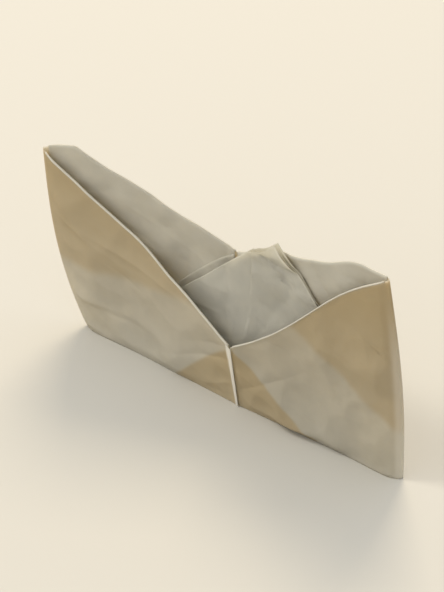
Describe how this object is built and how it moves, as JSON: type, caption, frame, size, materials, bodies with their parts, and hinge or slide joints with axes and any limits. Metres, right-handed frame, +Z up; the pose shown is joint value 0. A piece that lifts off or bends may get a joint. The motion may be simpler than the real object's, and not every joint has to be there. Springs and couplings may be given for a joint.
{
  "type": "folded paper boat",
  "caption": "Small boat folded from one sheet of thin paper, with a pointed standing sail between two sides that open and close at their creases.",
  "frame": {"origin": "on the surface that the boat stands on, at the middle of its overall length and width", "axes": "+X towards the stern, +Y towards the taller far side, +Z up along the sail"},
  "size_m": [0.0836, 0.0098, 0.044],
  "materials": {
    "hull_paper": "matt, thin and lightly crumpled",
    "sail_paper": "matt, thin and lightly crumpled"
  },
  "bodies": {
    "far_left": {"far_left_panel": "hull_paper", "far_left_brim": "hull_paper", "far_left_gusset": "hull_paper", "far_left_keel_fold": "hull_paper"},
    "near_left": {"near_left_panel": "hull_paper", "near_left_brim": "hull_paper", "near_left_gusset": "hull_paper", "near_left_keel_fold": "hull_paper"},
    "near_right": {"near_right_panel": "hull_paper", "near_right_brim": "hull_paper", "near_right_gusset": "hull_paper", "near_right_keel_fold": "hull_paper"},
    "far_right": {"far_right_panel": "hull_paper", "far_right_brim": "hull_paper", "far_right_gusset": "hull_paper", "far_right_keel_fold": "hull_paper"},
    "sail": {"sail_near_ply": "sail_paper", "sail_far_ply": "sail_paper", "sail_left_corner_ply": "sail_paper", "sail_right_corner_ply": "sail_paper"}
  },
  "joints": [
    {"name": "bow_crease", "type": "hinge", "parent": "far_left", "child": "near_left", "pos_m": [-0.03165, 0, 0], "axis": [0.264, 0, -0.9645], "range_deg": [-2, 30]},
    {"name": "far_centre_crease", "type": "hinge", "parent": "far_left", "child": "far_right", "pos_m": [0.00505, 0.0045, 0], "axis": [0.1761, -0.0114, -0.9843], "range_deg": [-2.01, 29.44]},
    {"name": "stern_crease", "type": "hinge", "parent": "far_right", "child": "near_right", "pos_m": [0.04175, 0, 0], "axis": [-0.0838, 0, 0.9965], "range_deg": [-1.98, 29.06]},
    {"name": "sail_crease", "type": "hinge", "parent": "far_left", "child": "sail", "pos_m": [-0.03165, 0, 0], "axis": [0.264, 0, -0.9645], "range_deg": [-1.05, 15.05]}
  ],
  "couplings": [
    {"joint": "far_centre_crease", "follows": "bow_crease", "ratio": 0.9797},
    {"joint": "stern_crease", "follows": "bow_crease", "ratio": 0.9671},
    {"joint": "sail_crease", "follows": "bow_crease", "ratio": 0.5}
  ]
}
